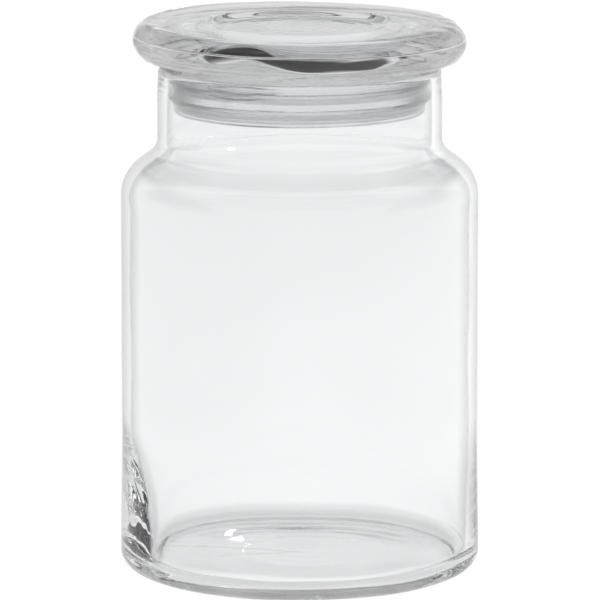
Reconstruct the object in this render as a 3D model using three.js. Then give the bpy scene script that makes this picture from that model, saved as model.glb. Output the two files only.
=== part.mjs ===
// Apothecary jar: a blown glass jar, a pressed glass lid with a hollow plug, and a soft gasket on the plug.
// Millimetres, +Z up. The origin is on the jar's axis, in the plane it stands on.
// Every piece is a solid of revolution: a closed outline of corners with fillets, turned about Z.
import * as THREE from "three";

// Driving dimensions.
const BODY_R = 51; // straight part of the body, outside
const FOOT_R = 51.5; // slight swell just above the base
const NECK_R = 40.55;
const RIM_Z = 145; // top of the jar's mouth
const LID_R = 47.4; // widest part of the lid
const LID_TOP_Z = 158;
const BODY_WALL = 2.5;
const NECK_WALL = 2.7;
const FLOOR_Z = 3.3; // inside floor, at its edge
const SEAT_GAP = 0.1; // between the mouth, the gasket's flange and the lid
const FLANGE_THICKNESS = 2.3; // gasket flange that the lid rests on
const PLUG_R = 34.5;
const PLUG_BOTTOM_Z = 133.5;

const MOUTH_R = NECK_R - NECK_WALL;
const FLANGE_BOTTOM_Z = RIM_Z + SEAT_GAP;
const FLANGE_TOP_Z = FLANGE_BOTTOM_Z + FLANGE_THICKNESS;
const LID_SEAT_Z = FLANGE_TOP_Z + SEAT_GAP; // flat underside of the lid's rim

const SEGMENTS = 48;
const ARC_STEP = THREE.MathUtils.degToRad(30); // largest turn between two points of a fillet

const clearGlass = { metalness: 0, roughness: 0.02, transparent: true, opacity: 0.35 };
const jarGlass = new THREE.MeshStandardMaterial({ ...clearGlass, color: 0xf2f5f4 });
const lidGlass = new THREE.MeshStandardMaterial({ ...clearGlass, color: 0xeef0f0 });
const softPlastic = new THREE.MeshStandardMaterial({
  color: 0xd6d9da,
  metalness: 0,
  roughness: 0.45,
  transparent: true,
  opacity: 0.75,
});

// A polyline through corners [r, z, fillet radius]. A corner with no radius stays sharp, and so do the ends.
function outline(corners) {
  const points = [];
  corners.forEach(([r, z, fillet = 0], i) => {
    const corner = new THREE.Vector2(r, z);
    if (!fillet) {
      points.push(corner);
      return;
    }
    const back = new THREE.Vector2(...corners[i - 1]).sub(corner).normalize();
    const ahead = new THREE.Vector2(...corners[i + 1]).sub(corner).normalize();
    const halfAngle = Math.acos(THREE.MathUtils.clamp(back.dot(ahead), -1, 1)) / 2;
    const turn = Math.PI - 2 * halfAngle;
    const inward = back.clone().add(ahead).normalize();
    const centre = corner.clone().addScaledVector(inward, fillet / Math.sin(halfAngle));
    const arcStart = corner.clone().addScaledVector(back, fillet / Math.tan(halfAngle));
    const direction = Math.sign(ahead.cross(back));
    const steps = Math.max(1, Math.ceil(turn / ARC_STEP));
    for (let s = 0; s <= steps; s++) {
      points.push(arcStart.clone().rotateAround(centre, (direction * turn * s) / steps));
    }
  });
  return points;
}

// Turns an outline about Z into a named mesh. The outline runs anticlockwise round the material.
function turned(name, corners, material) {
  const geometry = new THREE.LatheGeometry(outline(corners), SEGMENTS);
  geometry.rotateX(Math.PI / 2);
  const mesh = new THREE.Mesh(geometry, material);
  mesh.name = name;
  return mesh;
}

// Jar: underside with a shallow push-up, body, shoulder, neck and fire-polished lip, then back down inside.
function jarBody() {
  const pushUp = 1;
  const bearingInnerR = 43;
  const shoulderZ = 114.1; // where the body's line meets the shoulder's slope
  const neckZ = 121.95; // where the slope meets the neck's line
  const wallDrop = 1.7; // how much lower the inside of the shoulder lies
  const insideR = BODY_R - BODY_WALL;
  const lipR = 40.25;
  return turned("jar_body", [
    [0, pushUp],
    [bearingInnerR / 2, pushUp, 400],
    [bearingInnerR, 0, 10],
    [FOOT_R, 0, 5.6],
    [FOOT_R, 7.5, 120],
    [BODY_R, 40, 200],
    [BODY_R, shoulderZ, 11.6],
    [NECK_R, neckZ, 6.1],
    [NECK_R, RIM_Z - 8.4, 60],
    [lipR, RIM_Z, 1.4],
    [MOUTH_R, RIM_Z, 0.9],
    [MOUTH_R, neckZ - wallDrop, 7],
    [insideR, shoulderZ - wallDrop, 9.5],
    [insideR, 30, 200],
    [insideR - 0.3, FLOOR_Z, 5],
    [20, FLOOR_Z + 0.3, 60],
    [0, FLOOR_Z + 0.4],
  ], jarGlass);
}

// Gasket: a sleeve on the plug, a flange between lid and mouth, and two flaps that wipe the mouth's bore.
function gasket() {
  const boreR = PLUG_R + 0.15;
  const sleeveR = 35.9;
  const bottomZ = 132.7;
  const flangeR = 40.2;
  const flapR = MOUTH_R - 0.1;
  const flapRise = 2.7; // a flap's tip stands this much above its root
  const flapRootZs = [135.2, 139.7];
  const flap = (rootZ) => [
    [sleeveR, rootZ - 0.4],
    [flapR, rootZ + flapRise - 0.3],
    [flapR, rootZ + flapRise + 0.25],
    [sleeveR, rootZ + 0.8],
  ];
  const flangeMiddle = [37.5, FLANGE_TOP_Z];
  return turned("gasket", [
    flangeMiddle,
    [boreR, FLANGE_TOP_Z, 0.9],
    [boreR, bottomZ],
    [sleeveR, bottomZ, 1],
    ...flapRootZs.flatMap(flap),
    [sleeveR, FLANGE_BOTTOM_Z],
    [flangeR, FLANGE_BOTTOM_Z, 0.6],
    [flangeR, FLANGE_TOP_Z, 0.6],
    flangeMiddle,
  ], softPlastic);
}

// Lid: shallow dish in a broad crown, a bull-nosed rim, and a hollow plug below.
function lid() {
  const crownR = 44.1; // where the crown turns down into the rim
  const dishR = 24;
  const dishDepth = 1.8;
  const hollowR = 31.5;
  const hollowTopZ = 152.5;
  const hollowDraft = 0.3; // the hollow widens this much on its way down
  return turned("lid", [
    [0, hollowTopZ],
    [hollowR, hollowTopZ, 10],
    [hollowR + hollowDraft, PLUG_BOTTOM_Z, 0.9],
    [PLUG_R, PLUG_BOTTOM_Z, 0.9],
    [PLUG_R, LID_SEAT_Z, 0.6],
    [LID_R - 2.9, LID_SEAT_Z, 0.8],
    [LID_R + 0.8, 150.7, 5.2],
    [LID_R - 0.8, 155.7, 7],
    [crownR, LID_TOP_Z - 0.25, 2.5],
    [35, LID_TOP_Z, 24],
    [dishR + 1.7, LID_TOP_Z - 0.3, 8],
    [dishR - 1.5, LID_TOP_Z - dishDepth, 5],
    [0, LID_TOP_Z - dishDepth],
  ], lidGlass);
}

const jar = new THREE.Group();
jar.add(jarBody(), gasket(), lid());

export default jar;
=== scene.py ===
import math

import bpy
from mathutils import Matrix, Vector, noise


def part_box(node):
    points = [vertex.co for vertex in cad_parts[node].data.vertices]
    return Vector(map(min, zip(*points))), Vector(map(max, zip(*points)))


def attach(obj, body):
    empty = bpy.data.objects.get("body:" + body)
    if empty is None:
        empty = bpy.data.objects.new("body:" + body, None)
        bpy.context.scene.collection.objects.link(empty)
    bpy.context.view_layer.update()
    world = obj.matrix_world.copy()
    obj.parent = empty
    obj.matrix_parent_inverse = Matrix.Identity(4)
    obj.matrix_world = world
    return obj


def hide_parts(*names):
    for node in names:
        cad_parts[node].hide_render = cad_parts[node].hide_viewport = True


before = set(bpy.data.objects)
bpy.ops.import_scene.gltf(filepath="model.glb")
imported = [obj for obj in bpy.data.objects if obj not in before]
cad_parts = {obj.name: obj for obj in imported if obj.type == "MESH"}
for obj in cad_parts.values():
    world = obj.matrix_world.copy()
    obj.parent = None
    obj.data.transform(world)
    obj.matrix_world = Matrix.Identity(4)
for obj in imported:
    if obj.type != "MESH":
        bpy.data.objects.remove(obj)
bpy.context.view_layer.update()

# Apothecary jar: a blown glass jar, a soft gasket and a pressed glass lid. Each is a fine surface of
# revolution with the small waves of real glass. Outlines are in millimetres; Blender works in metres.
MM = 0.001

jar_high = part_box("jar_body")[1]
gasket_low, gasket_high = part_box("gasket")
lid_low, lid_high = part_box("lid")
FOOT_R = jar_high.x / MM
RIM_Z = jar_high.z / MM
SLEEVE_BOTTOM_Z = gasket_low.z / MM
FLANGE_TOP_Z = gasket_high.z / MM
FLANGE_R = gasket_high.x / MM
PLUG_BOTTOM_Z = lid_low.z / MM
LID_TOP_Z = lid_high.z / MM
LID_R = lid_high.x / MM


# ---- outlines -------------------------------------------------------------------------------------------

ARC_STEP = math.radians(5)


def outline(corners, spacing):
    """Points of a polyline through corners (r, z, fillet radius).

    A corner without a radius stays sharp. spacing(r, z) is the longest step allowed there.
    """
    coarse = []
    for i, corner in enumerate(corners):
        point = Vector(corner[:2])
        fillet = corner[2] if len(corner) > 2 else 0
        if not fillet:
            coarse.append(point)
            continue
        back = (Vector(corners[i - 1][:2]) - point).normalized()
        ahead = (Vector(corners[i + 1][:2]) - point).normalized()
        half_angle = math.acos(max(-1, min(1, back.dot(ahead)))) / 2
        turn = math.pi - 2 * half_angle
        centre = point + (back + ahead).normalized() * (fillet / math.sin(half_angle))
        arm = point + back * (fillet / math.tan(half_angle)) - centre
        side = math.copysign(1, ahead.x * back.y - ahead.y * back.x)
        steps = max(1, math.ceil(turn / ARC_STEP))
        for s in range(steps + 1):
            a = side * turn * s / steps
            spoke = (arm.x * math.cos(a) - arm.y * math.sin(a), arm.x * math.sin(a) + arm.y * math.cos(a))
            coarse.append(centre + Vector(spoke))
    fine = []
    for a, b in zip(coarse, coarse[1:]):
        middle = (a + b) / 2
        pieces = max(1, math.ceil((b - a).length / spacing(middle.x, middle.y)))
        fine.extend(a.lerp(b, k / pieces) for k in range(pieces))
    fine.append(coarse[-1])
    return fine


def smooth(value, start, end):
    """0 at start and before it, 1 at end and past it, with a soft S between."""
    t = max(0, min(1, (value - start) / (end - start)))
    return t * t * (3 - 2 * t)


def hump(value, middle, width):
    return math.exp(-((value - middle) / width) ** 2)


def turned(a, b):
    """The smaller angle between two directions about the axis."""
    return abs((a - b + math.pi) % (2 * math.pi) - math.pi)


def revolve(name, points, segments, wave, material, fine_side=0, fine=0):
    """A closed mesh: the points, which run anticlockwise round the material, turned about Z.

    wave(point, normal, angle) gives a point's (radial, upward) shift in mm. The normal faces outwards.
    fine, from 0 to 1, crowds the segments towards the angle fine_side, where the glass is busiest.
    """
    ring = points[0] == points[-1]
    if ring:
        points = points[:-1]
    last = len(points) - 1
    angles = []
    for k in range(segments):
        t = 2 * math.pi * k / segments
        angles.append(t - fine * math.sin(t - fine_side))
    verts = []
    rows = []
    for i, p in enumerate(points):
        before = points[i - 1] if i > 0 or ring else p
        after = points[(i + 1) % len(points)] if i < last or ring else p
        along = (after - before).normalized()
        normal = Vector((along.y, -along.x))
        if p.x < 1e-6:
            rows.append([len(verts)])
            verts.append((0, 0, p.y * MM))
            continue
        rows.append(list(range(len(verts), len(verts) + segments)))
        for angle in angles:
            out, up = wave(p, normal, angle)
            r = (p.x + out) * MM
            verts.append((r * math.cos(angle), r * math.sin(angle), (p.y + up) * MM))
    faces = []
    pairs = list(zip(rows, rows[1:]))
    if ring:
        pairs.append((rows[-1], rows[0]))
    for low, high in pairs:
        for k in range(segments):
            m = (k + 1) % segments
            if len(low) == 1:
                faces.append((low[0], high[m], high[k]))
            elif len(high) == 1:
                faces.append((low[k], low[m], high[0]))
            else:
                faces.append((low[k], low[m], high[m], high[k]))
    mesh = bpy.data.meshes.new(name)
    mesh.from_pydata(verts, [], faces)
    mesh.shade_smooth()
    mesh.materials.append(material)
    piece = bpy.data.objects.new(name, mesh)
    bpy.context.scene.collection.objects.link(piece)
    return piece


# ---- materials ------------------------------------------------------------------------------------------

def add_node(tree, kind, properties=None, **inputs):
    """A new shader node. An input, named with _ for a space, takes another node's output or a value."""
    node = tree.nodes.new("ShaderNode" + kind)
    for key, value in (properties or {}).items():
        setattr(node, key, value)
    for key, value in inputs.items():
        socket = node.inputs[key.replace("_", " ")]
        if isinstance(value, bpy.types.NodeSocket):
            tree.links.new(value, socket)
        else:
            socket.default_value = value
    return node


def ramp(tree, factor, stops):
    """A colour ramp through (place, grey level or colour)."""
    node = add_node(tree, "ValToRGB", Fac=factor)
    elements = node.color_ramp.elements
    while len(elements) < len(stops):
        elements.new(0.5)
    for element, (place, level) in zip(elements, stops):
        element.position = place
        element.color = (*level, 1) if isinstance(level, tuple) else (level, level, level, 1)
    return node.outputs["Color"]


def math_node(tree, operation, *values):
    """The output of a Math node; a value is another node's output or a number."""
    node = add_node(tree, "Math", {"operation": operation})
    for socket, value in zip(node.inputs, values):
        if isinstance(value, bpy.types.NodeSocket):
            tree.links.new(value, socket)
        else:
            socket.default_value = value
    return node.outputs[0]


def glass(name, tint, painted_edge_shade, edge_start, wave_size, wave_height, rim_r, painted_rim_shade, rim_fade):
    """Clear glass with faint marks of its making. wave_size, wave_height and rim_r are in metres.

    Its colour holds painted shade, in place of dark surroundings seen in the glass. It darkens towards
    painted_edge_shade where it is seen edge on, from the facing value edge_start. It darkens by
    painted_rim_shade where it is thick, out at the radius rim_r. A rim_fade above 0 keeps that to the foot.
    """
    material = bpy.data.materials.new(name)
    material.use_nodes = True
    tree = material.node_tree
    shader = tree.nodes["Principled BSDF"]
    shader.inputs["IOR"].default_value = 1.5
    shader.inputs["Transmission Weight"].default_value = 1.0
    place = add_node(tree, "TexCoord").outputs["Object"]
    facing = add_node(tree, "LayerWeight", Blend=0.5).outputs["Facing"]
    # painted shade: the colour darkens where the glass is seen edge on, giving grey outlines in place of dark
    # surroundings
    face = ramp(tree, facing, ((0.0, tint), (edge_start, tint), (0.92, painted_edge_shade)))
    split = add_node(tree, "SeparateXYZ", Vector=place)
    squares = math_node(tree, "MULTIPLY", split.outputs["X"], split.outputs["X"])
    squares = math_node(tree, "MULTIPLY_ADD", split.outputs["Y"], split.outputs["Y"], squares)
    nearness = math_node(tree, "DIVIDE", squares, rim_r ** 2)
    nearness = math_node(tree, "MULTIPLY_ADD", split.outputs["Z"], -rim_fade, nearness)
    # painted shade: the colour darkens out at the radius rim_r, on the thick rim, or only round the foot when
    # rim_fade is above 0
    thick = ramp(tree, nearness, ((0.6, 1.0), (0.95, painted_rim_shade)))
    # the glass's own tint times the painted shade along its outlines and on its thick rim
    tint_and_painted_shade = add_node(tree, "MixRGB", {"blend_type": "MULTIPLY"}, Fac=1.0, Color1=face, Color2=thick)
    tree.links.new(tint_and_painted_shade.outputs["Color"], shader.inputs["Base Color"])
    haze = add_node(tree, "TexNoise", Vector=place, Scale=90, Detail=3).outputs["Fac"]
    tree.links.new(ramp(tree, haze, ((0.45, 0.0), (0.8, 0.02))), shader.inputs["Roughness"])
    stretched = add_node(tree, "Mapping", Vector=place, Scale=(1, 1, 2.5)).outputs["Vector"]
    swirl = add_node(tree, "TexNoise", Vector=stretched, Scale=1 / wave_size, Detail=2).outputs["Fac"]
    bump = add_node(tree, "Bump", Height=swirl, Strength=1.0, Distance=wave_height)
    tree.links.new(bump.outputs["Normal"], shader.inputs["Normal"])
    return material


def milky_plastic(name):
    """Soft translucent plastic with a satin skin and a faint moulding grain."""
    material = bpy.data.materials.new(name)
    material.use_nodes = True
    tree = material.node_tree
    shader = tree.nodes["Principled BSDF"]
    shader.inputs["IOR"].default_value = 1.5
    shader.inputs["Transmission Weight"].default_value = 0.93
    shader.inputs["Subsurface Weight"].default_value = 0.5
    shader.inputs["Subsurface Radius"].default_value = (1, 1, 1)
    shader.inputs["Subsurface Scale"].default_value = 0.003
    place = add_node(tree, "TexCoord").outputs["Object"]
    cloud = add_node(tree, "TexNoise", Vector=place, Scale=160, Detail=4).outputs["Fac"]
    colours = ((0.3, (0.965, 0.97, 0.975)), (0.7, (0.99, 0.99, 0.99)))
    tree.links.new(ramp(tree, cloud, colours), shader.inputs["Base Color"])
    tree.links.new(ramp(tree, cloud, ((0.3, 0.13), (0.7, 0.2))), shader.inputs["Roughness"])
    grain = add_node(tree, "TexNoise", Vector=place, Scale=1200, Detail=2).outputs["Fac"]
    bump = add_node(tree, "Bump", Height=grain, Strength=0.3, Distance=0.0001)
    tree.links.new(bump.outputs["Normal"], shader.inputs["Normal"])
    return material


# ---- pieces ---------------------------------------------------------------------------------------------

BODY_R = FOOT_R - 0.5
INSIDE_R = BODY_R - 2.5
NECK_R = 40.55
MOUTH_R = 37.85
FLOOR_Z = 3.3
JAR_SEGMENTS = 290
FOLDS_SIDE = math.radians(182)  # the side where the glass is thick and folded, about the axis from +X
FOLDS_WIDTH = math.radians(24)
FOLDS_TOP_Z = 44
FOLDS_THICKENING = 2.8
SLOW_WAVE_HEIGHT = 0.05
CREASE_HEIGHT_INSIDE = 0.14
CREASE_HEIGHT_OUTSIDE = 0.04
RIPPLE_HEIGHT = 0.004
STREAK_HEIGHT = 0.09


def jar_wave(point, normal, angle):
    """Blown glass: slow waves, ripples in the floor, streaks round the heel and a folded side low down."""
    r, z = point
    place = Vector((r * math.cos(angle), r * math.sin(angle), z))
    inside = normal.x < -0.2 or (normal.y > 0.5 and z < FOLDS_TOP_Z)
    height = SLOW_WAVE_HEIGHT * noise.noise(place / 24)
    thickening = 0
    if z < FOLDS_TOP_Z:
        fold = hump(turned(angle, FOLDS_SIDE), 0, FOLDS_WIDTH) * smooth(z, FOLDS_TOP_Z, 10)
        around = angle * BODY_R
        bend = 5 * noise.noise(Vector((around / 14, z / 12, 3.1)))
        crease = noise.noise(Vector(((around + 0.6 * z) / 7 + 0.4 * bend, (z + bend) / 9, 0.5)))
        if inside:
            thickening = FOLDS_THICKENING * fold * smooth(r, 24, 46)
            height += CREASE_HEIGHT_INSIDE * fold * crease * smooth(r, 34, 45)
            ripple = noise.noise(Vector((place.x / 17, place.y / 17, 7)))
            height += RIPPLE_HEIGHT * math.sin(r / 0.9 + 3 * ripple) * smooth(r, 30, 18)
        else:
            height += CREASE_HEIGHT_OUTSIDE * fold * crease
        streak = noise.noise(Vector((place.x / 18, place.y / 18, z / 1.9)))
        height += STREAK_HEIGHT * streak * smooth(z, 14, 5) * smooth(r, 43, 47)
    return normal.x * height - thickening, max(normal.y * height, -z)


def jar_spacing(r, z):
    """Fine round the heel, coarser up the walls and across the floor."""
    if z > FOLDS_TOP_Z:
        return 3
    return 0.6 if r > 42 and z < 16 else 1.1


def jar_piece():
    """Underside with a shallow push-up, body, shoulder, neck and lip, then back down inside."""
    push_up = 0.6
    corners = [
        (0, push_up),
        (22, push_up, 400),
        (44.5, 0, 60),
        (FOOT_R, 0, 5.6),
        (FOOT_R, 7.5, 120),
        (BODY_R, 40, 200),
        (BODY_R, FOLDS_TOP_Z),
        (BODY_R, 114.1, 11.6),
        (NECK_R, 121.95, 6.1),
        (NECK_R, RIM_Z - 8.4, 60),
        (40.25, RIM_Z, 1.4),
        (MOUTH_R, RIM_Z, 0.9),
        (MOUTH_R, 120.25, 7),
        (INSIDE_R, 112.4, 9.5),
        (INSIDE_R, FOLDS_TOP_Z),
        (INSIDE_R, 30, 200),
        (INSIDE_R - 0.3, FLOOR_Z, 5),
        (20, FLOOR_Z + 0.3, 60),
        (0, FLOOR_Z + 0.4),
    ]
    points = outline(corners, jar_spacing)
    tint = (0.955, 0.962, 0.965)
    # painted shade in the glass's colour: grey along the outlines and darker round the foot
    material = glass("jar_glass", tint, painted_edge_shade=(0.14, 0.145, 0.15), edge_start=0.66,
                     wave_size=0.012, wave_height=0.00001, rim_r=FOOT_R * MM, painted_rim_shade=0.3, rim_fade=60)
    return revolve("glass_jar", points, JAR_SEGMENTS, jar_wave, material, FOLDS_SIDE, fine=0.55)


GASKET_SEGMENTS = 220


def gasket_wave(point, normal, angle):
    """Soft plastic: a skin that is slightly uneven round the ring."""
    height = 0.03 * noise.noise(Vector((4 * math.cos(angle), 4 * math.sin(angle), point.y / 2)))
    return normal.x * height, normal.y * height


def gasket_piece():
    """A sleeve on the plug, a flange between lid and mouth, and two flaps that wipe the mouth's bore."""
    skin = 0.03  # keeps the uneven skin inside the plain ring
    bore_r = 34.65
    sleeve_r = 35.9
    flap_r = MOUTH_R - 0.12
    flange_middle = (37.5, FLANGE_TOP_Z - skin)
    corners = [
        flange_middle,
        (bore_r, FLANGE_TOP_Z - skin, 0.9),
        (bore_r, SLEEVE_BOTTOM_Z + skin, 0.1),
        (sleeve_r, SLEEVE_BOTTOM_Z + skin, 1),
    ]
    for root in (135.2, 139.7):
        corners += [
            (sleeve_r, root - 0.4, 0.3),
            (flap_r, root + 2.4, 0.15),
            (flap_r, root + 2.95, 0.15),
            (sleeve_r, root + 0.8, 0.3),
        ]
    corners += [
        (sleeve_r, RIM_Z + 0.13, 0.3),
        (FLANGE_R - skin, RIM_Z + 0.13, 0.6),
        (FLANGE_R - skin, FLANGE_TOP_Z - skin, 0.6),
        flange_middle,
    ]
    points = outline(corners, lambda r, z: 0.8)
    return revolve("soft_gasket", points, GASKET_SEGMENTS, gasket_wave, milky_plastic("gasket_plastic"))


SEAT_Z = FLANGE_TOP_Z + 0.1
HOLLOW_R = 31.5
HOLLOW_TOP_Z = 152.5
DISH_DEPTH = 1.8
LID_SEGMENTS = 340
LID_WAVE_HEIGHT = 0.26
RING_HEIGHT = 0.015
WRINKLE_HEIGHT = 0.3
LOPSIDED = math.radians(-120)  # the side where the hollow reaches out further and its roof dips
HOLLOW_REACH = 1.6
ROOF_DIP = 2.3
LEAN = 0.0111  # the rim stands this much higher per mm towards -X


def lid_wave(point, normal, angle):
    """Pressed glass: slow waves, rings on the crown, a wrinkled and leaning rim, and a lopsided hollow."""
    r, z = point
    x = r * math.cos(angle)
    place = Vector((x, r * math.sin(angle), z))
    # 1 on the free faces, 0 on the seat and on the plug below it
    free = smooth(r, 40.6, 42) + smooth(z, SEAT_Z, SEAT_Z + 1.5) * smooth(r, 42, 40.6)
    height = LID_WAVE_HEIGHT * noise.noise(place / 21) * free
    ripple = noise.noise(Vector((place.x / 15, place.y / 15, z / 6)))
    height += RING_HEIGHT * math.sin(r / 0.6 + 4 * ripple) * free
    sides = hump(abs(math.cos(angle)), 1, 0.16) * smooth(r, 36, 44) * free
    height += WRINKLE_HEIGHT * sides * noise.noise(Vector((place.x / 6, place.y / 6, z / 2.8)))
    lift = -LEAN * x * smooth(r, 40.4, 45)
    in_hollow = normal.y < 0.3 and r < HOLLOW_R + 0.5 and z > PLUG_BOTTOM_Z + 2
    if in_hollow:
        side = hump(turned(angle, LOPSIDED), 0, 0.3)
        height -= HOLLOW_REACH * side * smooth(r, 20, 30) * smooth(z, PLUG_BOTTOM_Z + 2, 142)
        if z > 140 and normal.y < -0.02:
            lift -= ROOF_DIP * side * smooth(r, 14, 28)
    return normal.x * height, normal.y * height + lift


def lid_piece():
    """The hollow's roof and wall, the plug, the seat, a bull-nosed rim, the crown and the dish."""
    plug_r = 34.5
    corners = [
        (0, HOLLOW_TOP_Z),
        (HOLLOW_R, HOLLOW_TOP_Z, 10),
        (31.8, PLUG_BOTTOM_Z, 0.9),
        (plug_r, PLUG_BOTTOM_Z, 0.9),
        (plug_r, SEAT_Z, 0.6),
        (LID_R - 2.9, SEAT_Z, 0.8),
        (LID_R + 0.8, 150.7, 5.2),
        (LID_R - 0.8, 155.7, 7),
        (44.1, LID_TOP_Z - 0.25, 2.5),
        (35, LID_TOP_Z, 24),
        (25.7, LID_TOP_Z - 0.3, 8),
        (22.5, LID_TOP_Z - DISH_DEPTH, 5),
        (0, LID_TOP_Z - DISH_DEPTH),
    ]
    points = outline(corners, lambda r, z: 0.7)
    tint = (0.945, 0.95, 0.955)
    # painted shade in the glass's colour: grey along the outlines and on the thick rim
    material = glass("lid_glass", tint, painted_edge_shade=(0.3, 0.31, 0.32), edge_start=0.6,
                     wave_size=0.01, wave_height=0.00001, rim_r=LID_R * MM, painted_rim_shade=0.58, rim_fade=0)
    return revolve("glass_lid", points, LID_SEGMENTS, lid_wave, material)


# ---- studio ---------------------------------------------------------------------------------------------

CAMERA_ELEVATION = math.radians(10.45)
CAMERA_DISTANCE = 1.826
CAMERA_TARGET = Vector((0.00011, 0, 0.07743))
CAMERA_LENS = 382.6
SENSOR_WIDTH = 36
LAMP_TILT = math.radians(12)  # the dark ceiling leans this far to the back
LAMP_COUNT = 4  # overhead soft boxes round the jar
FLOOR_HALF = 3  # half the floor's side
FLOOR_DROP = 0.0002  # keeps the floor clear of the jar's foot
LIGHT_BOUNCES = 128  # light runs a long way inside the thick folds of the glass


def add_camera():
    data = bpy.data.cameras.new("camera")
    data.lens = CAMERA_LENS
    data.sensor_width = SENSOR_WIDTH
    camera = bpy.data.objects.new("camera", data)
    back = Vector((0, -math.cos(CAMERA_ELEVATION), math.sin(CAMERA_ELEVATION)))
    camera.location = CAMERA_TARGET + back * CAMERA_DISTANCE
    camera.rotation_euler = (math.pi / 2 - CAMERA_ELEVATION, 0, 0)
    bpy.context.scene.collection.objects.link(camera)
    bpy.context.scene.camera = camera


def sky():
    """Even soft light low down. Higher up, soft boxes with dark between them and overhead.

    Two grey flags stand far left and far right, a little above the horizon.
    """
    world = bpy.data.worlds.new("sky")
    bpy.context.scene.world = world
    world.use_nodes = True
    tree = world.node_tree
    direction = add_node(tree, "SeparateXYZ", Vector=add_node(tree, "TexCoord").outputs["Generated"])
    towards_camera = math_node(tree, "MULTIPLY", direction.outputs["Y"], -1.5)
    high = math_node(tree, "MULTIPLY", direction.outputs["Z"], math.cos(LAMP_TILT))
    high = math_node(tree, "MULTIPLY_ADD", direction.outputs["Y"], math.sin(LAMP_TILT), high)
    box = ramp(tree, high, (
        (0, 1.0), (0.42, 0.95), (0.50, 0.4), (0.58, 0.4), (0.66, 1.0), (0.82, 0.9), (0.95, 0.04), (1.0, 0.02),
    ))
    gap = ramp(tree, high, ((0, 1.0), (0.46, 0.92), (0.60, 0.06), (1.0, 0.02)))
    azimuth = math_node(tree, "ARCTAN2", direction.outputs["X"], direction.outputs["Y"])
    side = math_node(tree, "COSINE", math_node(tree, "MULTIPLY", azimuth, LAMP_COUNT))
    side = math_node(tree, "MAXIMUM", math_node(tree, "MULTIPLY_ADD", side, 0.5, 0.5), towards_camera)
    share = ramp(tree, side, ((0.2, 0.0), (0.6, 1.0)))
    mixed = add_node(tree, "MixRGB", Fac=share, Color1=gap, Color2=box)
    tree.links.new(mixed.outputs["Color"], tree.nodes["Background"].inputs["Color"])
    above = ramp(tree, direction.outputs["Z"], ((0.16, 0.0), (0.26, 1.0)))
    left = ramp(tree, math_node(tree, "MULTIPLY", direction.outputs["X"], -1), ((0.76, 0.0), (0.88, 0.8)))
    right = ramp(tree, direction.outputs["X"], ((0.78, 0.0), (0.88, 0.6)))
    flags = math_node(tree, "MULTIPLY", math_node(tree, "ADD", left, right), above)
    unflagged = math_node(tree, "SUBTRACT", 1, flags)
    strength = math_node(tree, "MULTIPLY_ADD", direction.outputs["X"], 0.15, unflagged)
    tree.links.new(strength, tree.nodes["Background"].inputs["Strength"])


def pale_floor():
    """A white floor that glows. It is plain white where the camera sees it directly.

    To the glass it is brighter on the right and a little darker close by on either side of the jar.
    """
    mesh = bpy.data.meshes.new("floor")
    corners = [(x * FLOOR_HALF, y * FLOOR_HALF, 0) for x, y in ((-1, -1), (1, -1), (1, 1), (-1, 1))]
    mesh.from_pydata(corners, [], [(0, 1, 2, 3)])
    floor = bpy.data.objects.new("floor", mesh)
    floor.location.z = -FLOOR_DROP
    bpy.context.scene.collection.objects.link(floor)
    material = bpy.data.materials.new("floor")
    material.use_nodes = True
    tree = material.node_tree
    tree.nodes.remove(tree.nodes["Principled BSDF"])
    place = add_node(tree, "TexCoord").outputs["Object"]
    split = add_node(tree, "SeparateXYZ", Vector=place)
    distance = add_node(tree, "VectorMath", {"operation": "LENGTH"}, Vector=place).outputs["Value"]
    glow = ramp(tree, distance, ((0.0, 0.92), (0.1, 0.96), (0.6, 0.91)))
    aside = math_node(tree, "MULTIPLY", split.outputs["Y"], -0.15)
    aside = math_node(tree, "MULTIPLY_ADD", split.outputs["X"], 0.5, aside)
    pool = ramp(tree, math_node(tree, "ADD", aside, 0.5), ((0.42, 0.0), (0.56, 0.12)))
    wide = math_node(tree, "ABSOLUTE", split.outputs["X"])
    wide = math_node(tree, "MULTIPLY_ADD", split.outputs["Y"], -0.12, wide)
    beside = ramp(tree, wide, ((0.052, 0.0), (0.11, 0.4)))
    close = ramp(tree, distance, ((0.08, 1.0), (0.24, 0.0)))
    shade = math_node(tree, "MULTIPLY", beside, close)
    light = math_node(tree, "ADD", glow, pool)
    light = math_node(tree, "MULTIPLY", light, math_node(tree, "SUBTRACT", 1, shade))
    seen = add_node(tree, "LightPath").outputs["Is Camera Ray"]
    unseen = math_node(tree, "SUBTRACT", 1, seen)
    strength = math_node(tree, "MULTIPLY_ADD", light, unseen, seen)
    emission = add_node(tree, "Emission", Strength=strength)
    tree.links.new(emission.outputs[0], tree.nodes["Material Output"].inputs["Surface"])
    mesh.materials.append(material)


def strip_light():
    """A thin upright light behind the jar, for the white glint on its base. The camera doesn't see it."""
    width = 0.008
    height = 0.06
    radiance = 6
    data = bpy.data.lights.new("strip_back", "AREA")
    data.shape = "RECTANGLE"
    data.size = width
    data.size_y = height
    data.energy = radiance * math.pi * width * height
    light = bpy.data.objects.new("strip_back", data)
    light.location = (-0.058, 0.9, 0.155)
    aim = Vector((0, 0, 0.01)) - light.location
    light.rotation_euler = aim.to_track_quat("-Z", "Y").to_euler()
    light.visible_camera = False
    bpy.context.scene.collection.objects.link(light)


def studio():
    scene = bpy.context.scene
    scene.view_settings.view_transform = "Standard"
    scene.cycles.max_bounces = LIGHT_BOUNCES
    scene.cycles.transmission_bounces = LIGHT_BOUNCES
    scene.cycles.glossy_bounces = LIGHT_BOUNCES
    sky()
    pale_floor()
    strip_light()


add_camera()
studio()
for piece, body, node, material_slot in (
    (jar_piece(), "jar", "jar_body", "jar_glass"),
    (gasket_piece(), "gasket", "gasket", "gasket_plastic"),
    (lid_piece(), "lid", "lid", "lid_glass"),
):
    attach(piece, body)
    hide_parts(node)
